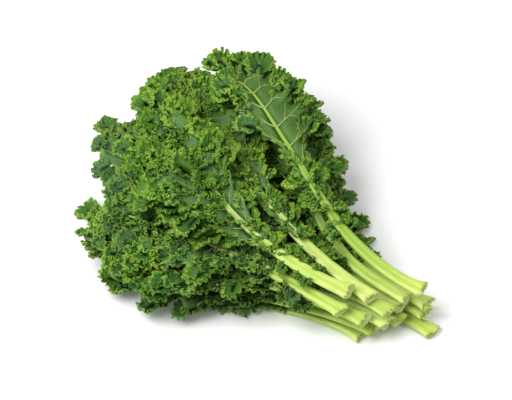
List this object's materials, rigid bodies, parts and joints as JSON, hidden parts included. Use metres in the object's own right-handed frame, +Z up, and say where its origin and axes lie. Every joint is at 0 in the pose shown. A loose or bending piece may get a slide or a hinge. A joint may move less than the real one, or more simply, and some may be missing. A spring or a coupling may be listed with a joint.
{
  "type": "kale bunch",
  "caption": "Bunch of curly kale lying on its side: pale cut stalks fanned out at one end, a mound of tightly ruffled green leaves at the other.",
  "frame": {"origin": "on the surface that the bunch lies on, below the middle of its bounding box", "axes": "+X runs along the bunch towards the cut ends of the stalks, -X towards the leaf tips, +Z is up, and +Y is across the bunch"},
  "size_m": [0.4213, 0.3217, 0.1334],
  "materials": {
    "stalk": "satin",
    "blade": "matte"
  },
  "bodies": {
    "root": {"leaf_01_stalk": "stalk", "leaf_01_blade": "blade", "leaf_02_stalk": "stalk", "leaf_02_blade": "blade", "leaf_03_stalk": "stalk", "leaf_03_blade": "blade", "leaf_04_stalk": "stalk", "leaf_04_blade": "blade", "leaf_05_stalk": "stalk", "leaf_05_blade": "blade", "leaf_06_stalk": "stalk", "leaf_06_blade": "blade", "leaf_07_stalk": "stalk", "leaf_07_blade": "blade", "leaf_08_stalk": "stalk", "leaf_08_blade": "blade", "leaf_09_stalk": "stalk", "leaf_09_blade": "blade", "leaf_10_stalk": "stalk", "leaf_10_blade": "blade", "leaf_11_stalk": "stalk", "leaf_11_blade": "blade", "leaf_12_stalk": "stalk", "leaf_12_blade": "blade", "leaf_13_stalk": "stalk", "leaf_13_blade": "blade", "leaf_14_stalk": "stalk", "leaf_14_blade": "blade", "leaf_15_stalk": "stalk", "leaf_15_blade": "blade", "leaf_16_stalk": "stalk", "leaf_16_blade": "blade", "leaf_17_stalk": "stalk", "leaf_17_blade": "blade"}
  },
  "joints": []
}
